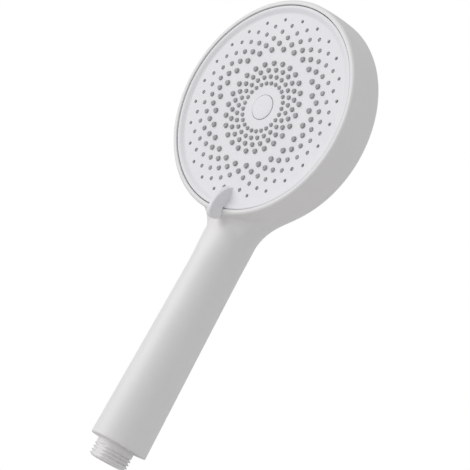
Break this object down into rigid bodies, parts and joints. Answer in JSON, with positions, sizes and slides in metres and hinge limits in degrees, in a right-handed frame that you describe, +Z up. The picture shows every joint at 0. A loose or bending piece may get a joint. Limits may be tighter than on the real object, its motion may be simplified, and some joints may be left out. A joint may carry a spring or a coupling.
{
  "type": "handheld shower head",
  "caption": "Handheld shower head: a round spray face with rings of soft nozzles and a mode lever, on a tapered handle with a threaded hose inlet.",
  "frame": {"origin": "centre of the threaded inlet's end face, where the hose's washer seats", "axes": "+Z up along the handle towards the head, -Y the side that the spray face looks to, +X to the right as one looks at the spray face"},
  "size_m": [0.1212, 0.053, 0.2609],
  "materials": {
    "casing_white": "satin moulded ABS, warm off-white",
    "face_white": "smooth moulded ABS, slightly cool white, light gloss",
    "inner_white": "moulded acetal, natural white",
    "inner_grey": "moulded glass-filled plastic, grey",
    "nozzle_rubber": "soft grey silicone",
    "seal_rubber": "black EPDM rubber",
    "steel": "stainless steel, satin"
  },
  "bodies": {
    "handset": {"body_shell": "casing_white", "inlet_connector": "casing_white", "inlet_screen": "steel", "flow_regulator": "inner_grey", "regulator_oring": "seal_rubber", "waterway_tube": "inner_white", "tube_oring_lower": "seal_rubber", "tube_oring_upper": "seal_rubber", "manifold": "inner_grey", "port_seal_inner": "seal_rubber", "port_seal_outer": "seal_rubber", "port_spring_inner": "steel", "port_spring_outer": "steel", "detent_spring": "steel", "pivot_oring": "seal_rubber", "screw_washer": "steel", "centre_screw": "steel", "manifold_screw_1": "steel", "manifold_screw_2": "steel", "manifold_screw_3": "steel"},
    "spray_face": {"distributor": "inner_white", "nozzle_mat_inner": "nozzle_rubber", "nozzle_mat_outer": "nozzle_rubber", "face_plate": "face_white", "mode_lever": "face_white", "centre_cap": "face_white"},
    "detent_pin": {"detent_plunger": "inner_white"}
  },
  "joints": [
    {"name": "face_turn", "type": "hinge", "parent": "handset", "child": "spray_face", "pos_m": [0, -0.0244, 0.1986], "axis": [0, -0.9871, -0.1599], "range_deg": [-28, 28]},
    {"name": "detent_travel", "type": "slide", "parent": "handset", "child": "detent_pin", "axis": [0, 0.9871, 0.1599], "range_m": [0, 0.0008], "stiffness_N_per_m": 400, "deforming": ["detent_spring"]}
  ]
}
